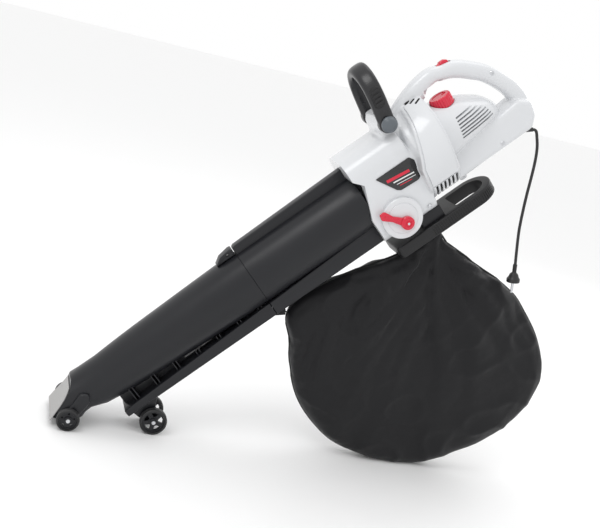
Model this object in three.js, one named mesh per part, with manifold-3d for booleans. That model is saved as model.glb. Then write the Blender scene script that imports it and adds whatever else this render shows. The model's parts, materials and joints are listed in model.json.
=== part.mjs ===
// Electric leaf blower and vacuum with a collection bag, standing on its wheels and its bag.
// Millimetres. The floor frame: X along the floor, Z up, the origin under the middle of the object.
// The machine frame, in the group "machine": s runs up the suction tube, n is square to it, y across.
import * as THREE from "three";
import { mergeVertices } from "three/addons/utils/BufferGeometryUtils.js";
import Module from "manifold-3d";

// ---- driving dimensions ----
const gap = 0.3; // kept between touching pieces
const wall = 2.5; // moulded wall of the tubes
const tubeTilt = THREE.MathUtils.degToRad(46.93); // tube from the floor
const tubeN = 18; // height of the tube axis
const tubeR = 58;
const tubeFrontR = 37;
const tubeStart = 72;
const tubeJoint = 444;
const tubeEnd = 701;
const ductHalf = 38; // blow duct half width
const ductBottomN = -62;
const fanN = 41; // height of the fan and motor axis
const fanR = 93; // fan casing
const beltR = 97;
const impellerR = 70;
const motorR = 35;
const shaftR = 4;
const bodyHalf = 62; // half width of the housing's front part
const beamHalf = 32;
const gripHalf = 18; // half width of the D-handle
const pivotS = 811; // front handle pivot
const pivotN = 134;
const armIn = 42; // front handle arms, from the middle plane
const armOut = 59;
const handleLean = 0.13;
const leverS = 744; // selector lever axis
const leverN = -43;
const discS = 742;
const discN = -32;
const discR = 40;
const dialS = 929;
const dialY = -16;
const dialR = 22;
const frontWheelR = 21.5;
const frontWheelY = 63.5;
const rearWheelR = 26.5;
const rearWheelY = 30;
const rearAxleX = 163.1;
const axleR = 4;
const frameTopN = -90; // bag frame
const frameBottomN = -115;
const frameHalf = 46;
const bagHalf = 58;
const cordR = 3;

const wasm = await Module();
wasm.setup();

// ---- solids ----
function solid(geometry) {
  geometry.deleteAttribute("normal");
  geometry.deleteAttribute("uv");
  const merged = mergeVertices(geometry, 1e-4);
  const from = merged.index.array;
  const corners = [];
  for (let i = 0; i < from.length; i += 3) {
    const [a, b, c] = [from[i], from[i + 1], from[i + 2]];
    if (a !== b && b !== c && c !== a) corners.push(a, b, c);
  }
  const vertProperties = merged.attributes.position.array;
  const build = (list) =>
    new wasm.Manifold(new wasm.Mesh({ numProp: 3, vertProperties, triVerts: new Uint32Array(list) }));
  const made = build(corners);
  return made.volume() > 0 ? made : build(corners.reverse());
}

function geometryOf(made) {
  const mesh = made.getMesh();
  const geometry = new THREE.BufferGeometry();
  geometry.setAttribute("position", new THREE.BufferAttribute(mesh.vertProperties, 3));
  geometry.setIndex(new THREE.BufferAttribute(mesh.triVerts, 1));
  return geometry;
}

const join = (first, ...rest) => rest.reduce((sum, next) => sum.add(next), first);
const cut = (first, ...rest) => rest.reduce((left, next) => left.subtract(next), first);
// The largest piece of a cut solid, without crumbs left in corners.
const mainPiece = (made) => made.decompose().sort((a, b) => b.volume() - a.volume())[0];

// A closed outline through corner points, each corner rounded.
function outline(points, radius = 0) {
  const shape = new THREE.Shape();
  const count = points.length;
  points.forEach(([x, y], i) => {
    const [px, py] = points[(i + count - 1) % count];
    const [nx, ny] = points[(i + 1) % count];
    const before = Math.hypot(px - x, py - y);
    const after = Math.hypot(nx - x, ny - y);
    const back = Math.min(radius, before / 2.05, after / 2.05);
    const start = [x + ((px - x) * back) / before, y + ((py - y) * back) / before];
    const end = [x + ((nx - x) * back) / after, y + ((ny - y) * back) / after];
    if (i === 0) shape.moveTo(...start);
    else shape.lineTo(...start);
    if (back > 0) shape.quadraticCurveTo(x, y, ...end);
  });
  shape.closePath();
  return shape;
}

// A closed smooth outline through its points.
function smoothOutline(points, count) {
  const loop = points.map(([x, y]) => new THREE.Vector3(x, y, 0));
  const curve = new THREE.CatmullRomCurve3(loop, true, "centripetal");
  return new THREE.Shape(curve.getPoints(count).slice(0, -1).map((p) => new THREE.Vector2(p.x, p.y)));
}

function extruded(shape, depth, round, steps, curve) {
  const options = { depth: depth - 2 * round, bevelEnabled: round > 0, curveSegments: curve };
  Object.assign(options, { bevelThickness: round, bevelSize: round, bevelOffset: -round, bevelSegments: steps });
  return new THREE.ExtrudeGeometry(shape, options);
}

// An outline in the (s, n) plane, extruded across from yLow to yHigh.
function sidePlate(shape, yLow, yHigh, round = 0, steps = 2, curve = 4) {
  const geometry = extruded(shape, yHigh - yLow, round, steps, curve);
  geometry.rotateX(Math.PI / 2);
  geometry.translate(0, yHigh - round, 0);
  return solid(geometry);
}

// An outline in the (s, y) plane, extruded up from nLow to nHigh.
function flatPlate(shape, nLow, nHigh, round = 0, steps = 2, curve = 4) {
  const geometry = extruded(shape, nHigh - nLow, round, steps, curve);
  geometry.translate(0, 0, nLow + round);
  return solid(geometry);
}

// A section in the (y, n) plane, extruded along s.
function axialBar(shape, sLow, sHigh, round = 0, steps = 2, curve = 4) {
  const geometry = extruded(shape, sHigh - sLow, round, steps, curve);
  geometry.applyMatrix4(new THREE.Matrix4().set(0, 0, 1, 0, 1, 0, 0, 0, 0, 1, 0, 0, 0, 0, 0, 1));
  geometry.translate(sLow + round, 0, 0);
  return solid(geometry);
}

// A profile of [s, radius] pairs, turned about the line n = centreN.
function turned(profile, centreN, segments = 36) {
  const geometry = new THREE.LatheGeometry(profile.map(([s, r]) => new THREE.Vector2(r, s)), segments);
  geometry.rotateZ(-Math.PI / 2);
  geometry.translate(0, 0, centreN);
  return solid(geometry);
}

const disc = (sLow, sHigh, r, centreN, segments) =>
  turned([[sLow, 0], [sLow, r], [sHigh, r], [sHigh, 0]], centreN, segments);

const ring = (sLow, sHigh, rIn, rOut, centreN, segments) =>
  turned([[sLow, rIn], [sLow, rOut], [sHigh, rOut], [sHigh, rIn], [sLow, rIn]], centreN, segments);

function block(sLow, sHigh, yLow, yHigh, nLow, nHigh) {
  const geometry = new THREE.BoxGeometry(sHigh - sLow, yHigh - yLow, nHigh - nLow);
  geometry.translate((sLow + sHigh) / 2, (yLow + yHigh) / 2, (nLow + nHigh) / 2);
  return solid(geometry);
}

function crossRod(s, n, yLow, yHigh, r, segments = 24, rEnd = r) {
  const geometry = new THREE.CylinderGeometry(rEnd, r, yHigh - yLow, segments);
  geometry.translate(s, (yLow + yHigh) / 2, n);
  return solid(geometry);
}

function uprightRod(s, y, nLow, nHigh, r, segments = 24) {
  const geometry = new THREE.CylinderGeometry(r, r, nHigh - nLow, segments);
  geometry.rotateX(Math.PI / 2);
  geometry.translate(s, y, (nLow + nHigh) / 2);
  return solid(geometry);
}

// A skin over rings of points, closed by a fan at each end.
function loft(rings) {
  const count = rings[0].length;
  const points = rings.flat();
  const corners = [];
  for (let k = 0; k + 1 < rings.length; k += 1)
    for (let i = 0; i < count; i += 1) {
      const j = (i + 1) % count;
      const [a, b, c, d] = [k * count + i, k * count + j, (k + 1) * count + i, (k + 1) * count + j];
      corners.push(a, b, d, a, d, c);
    }
  for (const [k, turn] of [[0, false], [rings.length - 1, true]]) {
    const middle = points.length;
    const sum = rings[k].reduce((total, p) => total.add(p), new THREE.Vector3());
    points.push(sum.divideScalar(count));
    for (let i = 0; i < count; i += 1) {
      const j = (i + 1) % count;
      const [a, b] = [k * count + i, k * count + j];
      if (turn) corners.push(middle, a, b);
      else corners.push(middle, b, a);
    }
  }
  const geometry = new THREE.BufferGeometry().setFromPoints(points);
  geometry.setIndex(corners);
  return solid(geometry);
}

// A rounded section between the points low and high of the (s, n) plane, `half` wide each way in y.
function section(low, high, half, power = 2, count = 28) {
  const middle = [(low[0] + high[0]) / 2, (low[1] + high[1]) / 2];
  const rise = [(high[0] - low[0]) / 2, (high[1] - low[1]) / 2];
  const points = [];
  for (let i = 0; i < count; i += 1) {
    const turn = (i * 2 * Math.PI) / count;
    const u = Math.sign(Math.sin(turn)) * Math.abs(Math.sin(turn)) ** (2 / power);
    const v = Math.sign(Math.cos(turn)) * Math.abs(Math.cos(turn)) ** (2 / power);
    points.push(new THREE.Vector3(middle[0] + rise[0] * u, half * v, middle[1] + rise[1] * u));
  }
  return points;
}

// ---- materials and the tree ----
const finish = (color, roughness, metalness = 0) =>
  new THREE.MeshStandardMaterial({ color, roughness, metalness });
const paint = {
  white: finish(0xf1f3f4, 0.25),
  black: finish(0x2b2d31, 0.45),
  rubber: finish(0x1a1a1b, 0.85),
  red: finish(0xd4103a, 0.35),
  grey: finish(0x66707a, 0.4),
  fabric: finish(0x17181a, 0.9),
  steel: finish(0xb9bdc2, 0.35, 0.9),
  copper: finish(0xb4703a, 0.4, 0.8),
  cord: finish(0x161616, 0.6),
  plate: finish(0x0d0d0e, 0.3),
};

const part = new THREE.Group();
const stand = new THREE.Group();
const machine = new THREE.Group();
machine.rotation.y = -tubeTilt;
part.add(stand);
stand.add(machine);

function add(group, name, made, material) {
  const mesh = new THREE.Mesh(geometryOf(made), material);
  mesh.name = name;
  group.add(mesh);
}

// ---- tubes ----
const tubeProfile = [[tubeStart, tubeFrontR], [126, 41], [190, 49], [251, 55], [320, 57.4], [tubeJoint, tubeR]];

// The round lower tube with its duck-bill nozzle; `inset` makes the passage inside it.
function lowerTubeBody(inset) {
  const mouthDrop = inset > 0 ? 8 : 0;
  const front = (r) => [[112, tubeN - r], [112, tubeN + r]];
  const round = tubeProfile.slice(1).map(([s, r]) => section([s, tubeN - r + inset], [s, tubeN + r - inset], r - inset));
  const bill = [
    section([40 - mouthDrop, -7 - mouthDrop], [-13 - mouthDrop, 33 - mouthDrop], 55 - inset, 3.2),
    section([47, -6 + inset], [6, 47 - inset], 53 - inset, 2.8),
    section([58, -8 + inset], [33, 62 - inset], 48 - inset, 2.4),
    section([80, -17 + inset], [66, 60 - inset], 42 - inset, 2.1),
    section([front(39)[0][0], front(39)[0][1] + inset], [112, front(40)[1][1] - inset], 40 - inset),
  ];
  const end = inset > 0 ? tubeJoint + 1 : tubeJoint - gap / 2;
  const last = tubeR - inset;
  const rings = [...bill, ...round.slice(0, -1), section([end, tubeN - last], [end, tubeN + last], last)];
  const body = loft(rings);
  const ramp = outline([[-40, 21 - inset], [68, tubeN + tubeFrontR + 2 - inset], [68, 140], [-40, 140]]);
  return cut(body, sidePlate(ramp, -80, 80));
}

// The flat blow duct below the tube, slim at its mouth and taller towards the housing.
function ductBar(sLow, sHigh, inset) {
  const topAt = (s) => THREE.MathUtils.mapLinear(s, 101, 700, -47, -24);
  const low = ductBottomN + inset;
  const side = outline([[sLow, low], [sHigh, low], [sHigh, topAt(sHigh) - inset], [sLow, topAt(sLow) - inset]]);
  return sidePlate(side, -ductHalf + inset, ductHalf - inset);
}

// The web and the pairs of small ribs that hold the duct to the tube.
function ductWebs(sLow, sHigh) {
  const webs = [block(sLow + 6, sHigh, -9, 9, -55, -12)];
  for (let s = sLow + 30; s < sHigh - 12; s += 48)
    for (const step of [0, 7]) webs.push(block(s + step, s + step + 2.5, -30, 30, -52, -12));
  return webs;
}

const spigotLength = 18;
const spigotR = tubeR - wall - gap;
const lowerBore = join(
  lowerTubeBody(wall),
  disc(tubeJoint - 12, tubeJoint + spigotLength + 1, spigotR - wall, tubeN),
);
const frontAxleS = frontWheelR * Math.sin(tubeTilt);
const frontAxleN = frontWheelR * Math.cos(tubeTilt);
const tubeLower = cut(
  join(
    lowerTubeBody(0),
    disc(tubeJoint - 10, tubeJoint - gap / 2, tubeR - 1, tubeN),
    disc(tubeJoint - 10, tubeJoint + spigotLength, spigotR, tubeN),
    ...[-1, 1].map((side) => wheelBoss(side)),
  ),
  lowerBore,
  ...[-1, 1].map((side) => crossRod(frontAxleS, frontAxleN, side < 0 ? -75 : 30, side < 0 ? -30 : 75, axleR + gap)),
);

// The moulded boss that carries a front stub axle.
function wheelBoss(side) {
  const shape = outline([[4, 4], [24, 2], [64, 12], [74, 26], [62, 38], [22, 26], [6, 24]]);
  const [low, high] = side < 0 ? [-55, -40] : [40, 55];
  return sidePlate(shape, low, high, 5);
}
// The nozzle is a node of its own, which keeps the tube a plain shell.
const nozzleEnd = 112;
add(machine, "nozzle", tubeLower.intersect(block(-100, nozzleEnd - gap / 2, -100, 100, -100, 200)), paint.black);
add(machine, "tube_lower", tubeLower.intersect(block(nozzleEnd + gap / 2, 600, -100, 100, -100, 200)), paint.black);
const lowerClearance = join(lowerTubeBody(-gap), disc(tubeJoint - 12, tubeJoint + spigotLength + 1, tubeR + gap, tubeN));
add(
  machine,
  "blow_duct_lower",
  mainPiece(cut(
    join(ductBar(101, tubeJoint - gap / 2, 0), ...ductWebs(101, tubeJoint - gap / 2)),
    ductBar(90, tubeJoint + 1, wall),
    lowerClearance,
  )),
  paint.black,
);

const upperStart = tubeJoint + gap / 2;
const rail = outline([[upperStart, 60], [upperStart, 90], [upperStart + 4, 92], [tubeEnd, 98], [tubeEnd, 60]]);
add(
  machine,
  "tube_upper",
  cut(
    join(
      disc(upperStart, tubeEnd, tubeR, tubeN, 44),
      ductBar(upperStart, tubeEnd, 0),
      ...ductWebs(upperStart - 6, tubeEnd - 4),
      sidePlate(rail, -10, 10, 2, 1),
    ),
    disc(upperStart - 1, tubeEnd + 1, tubeR - wall, tubeN, 44),
    ductBar(upperStart - 1, tubeEnd + 1, wall),
  ),
  paint.black,
);
const clipShape = outline([[402, 76.5], [402, 79], [415, 88], [438, 92], [443, 91], [443, 76.5]]);
add(machine, "tube_clip", cut(sidePlate(clipShape, -11, 11, 1.5, 1), crossRod(430, 84, -20, 20, 3)), paint.black);

// ---- wheels ----
function wheelRing(x, z, y, half, rIn, rOut) {
  const edge = 3;
  const profile = [
    [rIn, -half], [rOut - edge, -half], [rOut, -half + edge], [rOut, half - edge], [rOut - edge, half], [rIn, half],
    [rIn, -half],
  ];
  const geometry = new THREE.LatheGeometry(profile.map(([r, h]) => new THREE.Vector2(r, h)), 24);
  geometry.translate(x, y, z);
  return solid(geometry);
}

function wheel(name, x, y, radius, half, windows) {
  const rimR = radius * 0.8;
  const openings = windows(x, radius);
  const hub = join(
    crossRod(x, radius, y - half * 0.7, y + half * 0.7, rimR, 24),
    crossRod(x, radius, y - half, y + half, axleR + 3.5, 16),
  );
  const recess = (low, high) =>
    cut(crossRod(x, radius, low, high, rimR - 2.5, 24), crossRod(x, radius, low - 1, high + 1, axleR + 3.5, 16));
  const face = half * 0.7 - 2.5;
  const bored = cut(hub, crossRod(x, radius, y - 20, y + 20, axleR + gap, 16), recess(y - half, y - face), recess(y + face, y + half));
  add(stand, name + "_rim", cut(bored, ...openings.map((o) => o(y))), paint.black);
  add(stand, name + "_tyre", wheelRing(x, radius, y, half, rimR + gap, radius), paint.rubber);
}

const around = (count, make) => Array.from({ length: count }, (_, i) => make((i * 2 * Math.PI) / count));

const roundHoles = (x, z) =>
  around(5, (turn) => (y) =>
    crossRod(x + 11.8 * Math.sin(turn), z + 11.8 * Math.cos(turn), y - 15, y + 15, 1.9, 8));

const wedgeWindows = (x, z) =>
  around(5, (turn) => (y) => {
    const at = (r, a) => [x + r * Math.sin(turn + a), z + r * Math.cos(turn + a)];
    return sidePlate(outline([at(9.5, -0.2), at(17.6, -0.4), at(18.6, 0), at(17.6, 0.4), at(9.5, 0.2)]), y - 15, y + 15);
  });

for (const [end, side] of [["near", -1], ["far", 1]]) {
  wheel("front_wheel_" + end, 0, side * frontWheelY, frontWheelR, 6, roundHoles);
  wheel("rear_wheel_" + end, rearAxleX, side * rearWheelY, rearWheelR, 7, wedgeWindows);
  const stub = [side * 38, side * 71].sort((a, b) => a - b);
  add(stand, "front_axle_" + end, crossRod(0, frontWheelR, ...stub, axleR - 0.3), paint.steel);
}
add(stand, "rear_axle", crossRod(rearAxleX, rearWheelR, -39, 39, axleR - 0.3), paint.steel);
const rearS = rearAxleX * Math.cos(tubeTilt) + rearWheelR * Math.sin(tubeTilt);
const rearN = -rearAxleX * Math.sin(tubeTilt) + rearWheelR * Math.cos(tubeTilt);
const bracketTop = ductBottomN - gap;
const bracketShape = outline(
  [[108, bracketTop], [112, -82], [rearS - 10, rearN - 8], [rearS + 10, rearN - 8], [150, -84], [170, bracketTop]]);
add(
  machine,
  "rear_axle_bracket",
  cut(sidePlate(bracketShape, -21, 21, 2, 1), crossRod(rearS, rearN, -30, 30, axleR), block(118, 146, -15, 15, -130, -74)),
  paint.black,
);

// ---- housing ----
const tiltedBand = (low, high) =>
  sidePlate(outline([[861 - low, 142], [820 - low, 29], [818 - low, -70], [876 + high, -70], [876 + high, -6], [893 + high, 142]]), -120, 120);

const handleOuter = [
  [809, 100], [837, 131], [867, 145], [918, 162], [940, 163], [964, 155], [982, 153], [1003, 141], [1042, 106],
  [1062, 74], [1078, 40], [1084, 6], [1076, -30], [1058, -49], [1010, -51], [900, -52], [850, -40], [830, 20],
];
const handleInner = [
  [932, 137], [954, 132], [988, 114], [1020, 87], [1043, 54], [1054, 21], [1049, -4], [1030, -8], [1000, 6],
  [950, 50], [907, 84], [902, 100], [910, 122],
];

function housingOuter() {
  const adapterSection = outline([[-bodyHalf, -66], [bodyHalf, -66], [bodyHalf, 115], [-bodyHalf, 115]], 34);
  const frontEdge = outline([[600, 160], [697, 160], [697, 80], [713, 62], [691, -6], [695, -90], [600, -90]]);
  const adapter = cut(axialBar(adapterSection, 660, 817), sidePlate(frontEdge, -90, 90));
  const shoulder = turned([[760, 0], [760, 44], [818.5, 60.5], [828, 83], [886, 86], [892, 60], [892, 0]], fanN, 40);
  const drum = disc(790, 920, fanR, fanN, 48).intersect(tiltedBand(5, 6));
  const dome = loft([
    section([870, -12], [870, 112], 66, 2.3),
    section([920, -4], [920, 100], 62, 2.3),
    section([958, 2], [958, 88], 56, 2.3),
    section([985, 5], [985, 73], 48, 2.2),
    section([1003, 6], [1003, 60], 38, 2.1),
    section([1016, 8], [1016, 42], 24),
    section([1022, 16], [1022, 30], 9),
  ]);
  const beamShape = outline([[860, -52], [945, -50], [1058, -49], [1075, -28], [1080, 0], [1058, 18], [1010, 12], [860, 18]]);
  const beam = sidePlate(beamShape, -beamHalf, beamHalf, 9);
  const handle = cut(
    sidePlate(smoothOutline(handleOuter, 54), -gripHalf, gripHalf, 7),
    sidePlate(smoothOutline(handleInner, 40), -gripHalf - 1, gripHalf + 1),
  );
  const saddleShape = outline([[790, 90], [795, 136], [803, 149], [819, 149], [828, 138], [838, 90]]);
  const saddle = sidePlate(saddleShape, -armIn + 1, armIn - 1, 3, 1);
  return join(adapter, shoulder, drum, dome, beam, handle, saddle);
}

function housingHollow() {
  const socket = disc(600, tubeEnd + gap, tubeR + gap, tubeN, 44);
  const ductSocket = block(600, tubeEnd + gap, -ductHalf - gap, ductHalf + gap, ductBottomN - gap, -20);
  const railSocket = block(600, tubeEnd + gap, -10 - gap, 10 + gap, 60, 99);
  const suction = disc(700, 832, 53, tubeN);
  const channel = block(700, 812, -35, 35, ductBottomN + 3, -40);
  const fanChamber = disc(830, 878, 78, fanN);
  const outletWay = block(805, 845, -28, 28, -45, -20);
  const chute = block(774, 822, -33, 33, -80, -50);
  const motorSpace = turned([[877, 0], [877, 38.5], [956, 38.5], [956, 27], [984, 27], [984, 12], [1003, 12], [1003, 0]], fanN);
  const switchPocket = block(955, 985, -6.5, 6.5, 138, 175);
  const microPocket = block(958, 982, -6.5, 6.5, 137.8, 139);
  const dialPocket = uprightRod(dialS, dialY, 87, 130, dialR + 1.5);
  const potPocket = uprightRod(dialS, dialY, 79, 88, 9);
  const leverBore = crossRod(leverS, leverN, -80, 50, shaftR + gap);
  const glandSeat = glandTube(5.6, -12, 14);
  return [
    socket, ductSocket, railSocket, suction, channel, fanChamber, outletWay, chute, motorSpace, switchPocket,
    microPocket, dialPocket, potPocket, leverBore, glandSeat,
  ];
}

// The strain relief's axis leaves the housing's lower rear edge.
const glandStart = new THREE.Vector3(743, 0, 726.5);
const glandEnd = new THREE.Vector3(774, 0, 735);
const floorToMachine = (p) =>
  new THREE.Vector3(
    p.x * Math.cos(tubeTilt) + p.z * Math.sin(tubeTilt), p.y, -p.x * Math.sin(tubeTilt) + p.z * Math.cos(tubeTilt));

function glandTube(r, from, to, rEnd = r) {
  const start = floorToMachine(glandStart);
  const along = floorToMachine(glandEnd).sub(start).normalize();
  const geometry = new THREE.CylinderGeometry(rEnd, r, to - from, 16);
  geometry.translate(0, (from + to) / 2, 0);
  geometry.applyQuaternion(new THREE.Quaternion().setFromUnitVectors(new THREE.Vector3(0, 1, 0), along));
  geometry.translate(start.x, start.y, start.z);
  return solid(geometry);
}

const hollowed = cut(
  housingOuter(),
  ...housingHollow(),
  ...[-1, 1].map((side) => crossRod(pivotS, pivotN, side < 0 ? -60 : 25, side < 0 ? -25 : 60, 5 + gap)),
);
const halfSpace = (side) => block(500, 1200, side < 0 ? -200 : gap / 2, side < 0 ? -gap / 2 : 200, -200, 300);
for (const [end, side] of [["near", -1], ["far", 1]]) {
  add(machine, "housing_" + end, mainPiece(hollowed.intersect(halfSpace(side))), paint.white);
  const beltRing = ring(790, 920, fanR + gap, beltR, fanN, 48);
  const reach = block(780, 930, side < 0 ? -120 : 24, side < 0 ? -24 : 120, -12, 140);
  add(machine, "casing_belt_" + end, mainPiece(beltRing.intersect(tiltedBand(0, 0)).intersect(reach)), paint.white);
  const below = block(780, 930, side < 0 ? -120 : 33, side < 0 ? -33 : 120, -80, -14);
  const slots = [];
  for (let at = 824.5; at < 874; at += 9) slots.push(block(at, at + 4, -120, 120, -48, -17));
  const grille = ring(790, 920, fanR + gap, beltR - 1, fanN, 48).intersect(tiltedBand(-1, -1)).intersect(below);
  add(machine, "outlet_grille_" + end, mainPiece(cut(grille, ...slots)), paint.white);
}
const plateShape = outline([[736, 60], [811, 60], [818, 50], [813, 16], [806, 12], [768, 14], [761, 19]], 2);
add(machine, "rating_plate", sidePlate(plateShape, -bodyHalf - 1.5, -bodyHalf - gap), paint.plate);
const eyeletShape = outline([[884, -52.3], [910, -52.3], [903, -66], [891, -66]], 4);
add(machine, "strap_eyelet", cut(sidePlate(eyeletShape, -2.5, 2.5), crossRod(897, -60, -5, 5, 3, 12)), paint.white);

// ---- selector ----
add(
  machine,
  "selector_disc",
  cut(crossRod(discS, discN, -71, -bodyHalf - gap, discR, 40), crossRod(leverS, leverN, -80, -50, shaftR + gap)),
  paint.white,
);
const leverShape = outline([[leverS + 9, leverN - 8], [leverS + 9, leverN + 9], [714, 4], [704, -1], [706, -11], [733, -48]], 5);
add(
  machine,
  "selector_lever",
  cut(
    join(sidePlate(leverShape, -77, -71 - gap), crossRod(leverS, leverN, -83, -71 - gap, 13)),
    crossRod(leverS, leverN, -79, -60, shaftR),
  ),
  paint.red,
);
add(machine, "selector_shaft", crossRod(leverS, leverN, -78.5, 45, shaftR - gap), paint.steel);
add(
  machine,
  "diverter_flap",
  cut(block(leverS - 1.5, leverS + 1.5, -33, 33, leverN - 15, leverN), crossRod(leverS, leverN, -40, 40, shaftR)),
  paint.black,
);

// ---- front handle ----
function archShape(half, top, inner) {
  const shape = new THREE.Shape();
  const foot = pivotN - (inner ? 40 : 0);
  const bend = half * 0.86;
  shape.moveTo(-half, foot);
  shape.lineTo(half, foot);
  shape.lineTo(half, top - bend);
  shape.bezierCurveTo(half, top - bend * 0.3, half * 0.55, top, 0, top);
  shape.bezierCurveTo(-half * 0.55, top, -half, top - bend * 0.3, -half, top - bend);
  shape.closePath();
  return shape;
}

// Shears a solid so that it leans along s as it rises above the pivot.
const leaned = (made) => made.transform([1, 0, 0, 0, 0, 1, 0, 0, handleLean, 0, 1, 0, -handleLean * pivotN, 0, 0, 1]);
const arch = cut(
  axialBar(archShape(armOut, 246, false), pivotS - 17, pivotS + 17, 5, 2, 8),
  axialBar(archShape(armIn + 0.5, 226, true), pivotS - 30, pivotS + 30, 0, 2, 8),
);
const padSeat = (side, grow) => {
  const face = side * armOut;
  const [low, high] = side < 0 ? [face - 1 - grow, face + 2.5] : [face - 2.5, face + 1 + grow];
  const shape = outline([[pivotS - 11, 168], [pivotS + 11, 168], [pivotS + 11, 208], [pivotS - 11, 208]], 10);
  return leaned(sidePlate(shape, low, high));
};
const armHub = (side) => {
  const [low, high] = side < 0 ? [-armOut, -armIn] : [armIn, armOut];
  return crossRod(pivotS, pivotN, low, high, 17.5, 28);
};
const pinHole = crossRod(pivotS, pivotN, -armOut - 5, armOut + 5, 5 + gap);
const capSeat = (side) => {
  const [low, high] = side < 0 ? [-armOut - 5, -armOut + 4] : [armOut - 4, armOut + 5];
  return crossRod(pivotS, pivotN, low, high, 13, 28);
};
add(
  machine,
  "front_handle",
  cut(join(leaned(arch), armHub(-1), armHub(1)), pinHole, padSeat(-1, 1), padSeat(1, 1), capSeat(-1), capSeat(1)),
  paint.black,
);
for (const [end, side] of [["near", -1], ["far", 1]]) {
  const [low, high] = side < 0 ? [-armOut - 2, -armOut + 2.2] : [armOut - 2.2, armOut + 2];
  const shape = outline([[pivotS - 10.6, 168.4], [pivotS + 10.6, 168.4], [pivotS + 10.6, 207.6], [pivotS - 10.6, 207.6]], 9.6);
  const grooves = [176, 184, 192, 200].map((n) =>
    block(pivotS - 7, pivotS + 7, side < 0 ? -armOut - 3 : armOut + 0.6, side < 0 ? -armOut - 0.6 : armOut + 3, n - 1.5, n + 1.5));
  add(machine, "grip_pad_" + end, leaned(cut(sidePlate(shape, low, high), ...grooves)), paint.rubber);
  const pin = side < 0 ? [-53, -27] : [27, 53];
  add(machine, "handle_pin_" + end, crossRod(pivotS, pivotN, ...pin, 5), paint.steel);
  const cap = side < 0 ? [-74, -armOut + 1.8] : [armOut - 1.8, 74];
  const crown = side < 0 ? crossRod(pivotS, pivotN, ...cap, 9, 28, 12.6) : crossRod(pivotS, pivotN, ...cap, 12.6, 28, 9);
  const flange = side < 0 ? [-armOut - 9, -armOut - 4] : [armOut + 4, armOut + 9];
  add(machine, "lock_button_" + end, join(crown, crossRod(pivotS, pivotN, ...flange, 15.5, 28)), paint.grey);
}

// ---- controls ----
const dialGrip = around(12, (turn) =>
  uprightRod(dialS + (dialR + 0.4) * Math.cos(turn), dialY + (dialR + 0.4) * Math.sin(turn), 85, 115, 1.6, 6));
add(machine, "speed_dial", cut(uprightRod(dialS, dialY, 88.5, 110, dialR, 32), ...dialGrip), paint.red);
add(machine, "dial_potentiometer", uprightRod(dialS, dialY, 80, 87.8, 8), paint.grey);
const switchShape = outline([[957, 151], [957, 160], [968, 164], [974, 164], [980, 158], [980, 151]], 2);
add(machine, "power_switch", sidePlate(switchShape, -6, 6), paint.red);
add(machine, "micro_switch", block(958, 979, -6, 6, 138.2, 150.5), paint.black);

// ---- motor and fan ----
add(
  machine,
  "motor_plate",
  cut(disc(879.3, 883, 38, fanN), disc(870, 890, 12, fanN, 24)),
  paint.black,
);
add(machine, "motor_stator", ring(897, 942, 26, motorR, fanN, 32), paint.steel);
add(machine, "armature_core", ring(899, 940, shaftR + gap, 25, fanN, 32), paint.copper);
add(machine, "commutator", ring(944, 956, shaftR + gap, 11, fanN, 24), paint.copper);
add(machine, "motor_shaft", disc(846, 975, shaftR, fanN, 24), paint.steel);
add(machine, "bearing_front", ring(884, 890, shaftR + gap, 11, fanN, 24), paint.steel);
add(machine, "bearing_rear", ring(966, 973, shaftR + gap, 11, fanN, 24), paint.steel);
for (const [end, side] of [["near", -1], ["far", 1]]) {
  const [low, high] = side < 0 ? [-25, -11.6] : [11.6, 25];
  add(machine, "brush_holder_" + end, block(945, 954, low, high, fanN - 4, fanN + 4), paint.plate);
}
const blades = around(8, (turn) => {
  const blade = block(845, 866, -1.5, 1.5, 12, impellerR - 1);
  const lean = blade.transform([1, 0, 0, 0, 0, 1, 0, 0, 0, 0.35, 1, 0, 0, -6, 0, 1]);
  const [c, s] = [Math.cos(turn), Math.sin(turn)];
  return lean.transform([1, 0, 0, 0, 0, c, s, 0, 0, -s, c, 0, 0, 0, fanN, 1]);
});
const hubDisc = turned([[848, shaftR + gap], [848, 13], [866, 16], [866, impellerR], [870, impellerR], [870, shaftR + gap], [848, shaftR + gap]], fanN, 40);
add(machine, "impeller", mainPiece(cut(join(hubDisc, ...blades), disc(840, 872, shaftR + gap, fanN, 24))), paint.grey);
add(machine, "cooling_fan", ring(958.5, 963.5, shaftR + gap, 22, fanN, 24), paint.grey);

// ---- bag frame, collar and bag ----
function loopShape(half, front, rear, corner) {
  const shape = new THREE.Shape();
  shape.moveTo(front + corner, -half);
  shape.lineTo(rear, -half);
  shape.absarc(rear, 0, half, -Math.PI / 2, Math.PI / 2, false);
  shape.lineTo(front + corner, half);
  shape.quadraticCurveTo(front, half, front, half - corner);
  shape.lineTo(front, -half + corner);
  shape.quadraticCurveTo(front, -half, front + corner, -half);
  return shape;
}
const collarHalf = 35;
add(
  machine,
  "bag_frame",
  cut(
    flatPlate(loopShape(frameHalf, 705, 894, 10), frameBottomN, frameTopN, 2, 1, 12),
    flatPlate(loopShape(30, 850, 894, 6), frameBottomN - 5, frameTopN + 5, 0, 1, 12),
    block(773.7, 822.3, -collarHalf - gap, collarHalf + gap, frameBottomN - 5, frameTopN + 5),
    block(714, 764, -collarHalf, collarHalf, frameBottomN - 5, frameTopN - 4),
  ),
  paint.black,
);
add(
  machine,
  "bag_collar",
  cut(
    block(774, 822, -collarHalf, collarHalf, frameBottomN - 1, -66.3),
    block(776.5, 819.5, -collarHalf + wall, collarHalf - wall, frameBottomN - 5, -60),
  ),
  paint.black,
);
const bagPoints = [
  [376, 272], [394, 233], [419, 172], [450, 112], [486, 73], [548, 30], [623, 6], [700, 0], [760, 10], [832, 48],
  [891, 89], [944, 151], [967, 214], [962, 271], [933, 324], [876, 386], [838, 415], [749, 451], [660, 492],
  [634, 503], [570, 435], [464, 371], [388, 303],
];
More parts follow.
